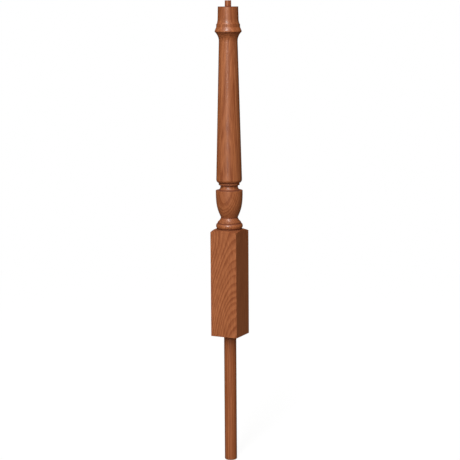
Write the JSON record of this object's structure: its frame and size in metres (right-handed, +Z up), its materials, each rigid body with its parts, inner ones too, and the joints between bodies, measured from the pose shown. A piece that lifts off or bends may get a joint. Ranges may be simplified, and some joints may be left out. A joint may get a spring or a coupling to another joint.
{
  "type": "newel post",
  "caption": "Turned wooden newel post with a square block, a vase-shaped urn, a tapered shaft, a flared cap with a rail pin, and a long dowel below.",
  "frame": {"origin": "centre of the square block's bottom face, on the axis of the turning, where the dowel starts: the level of the tread that the post stands on", "axes": "+Z up along the axis of the turning; X and Y square to the faces of the block"},
  "size_m": [0.0762, 0.0762, 1.2351],
  "materials": {
    "stained_wood": "satin lacquer over a reddish brown stain"
  },
  "bodies": {
    "root": {"newel_post": "stained_wood"}
  },
  "joints": []
}
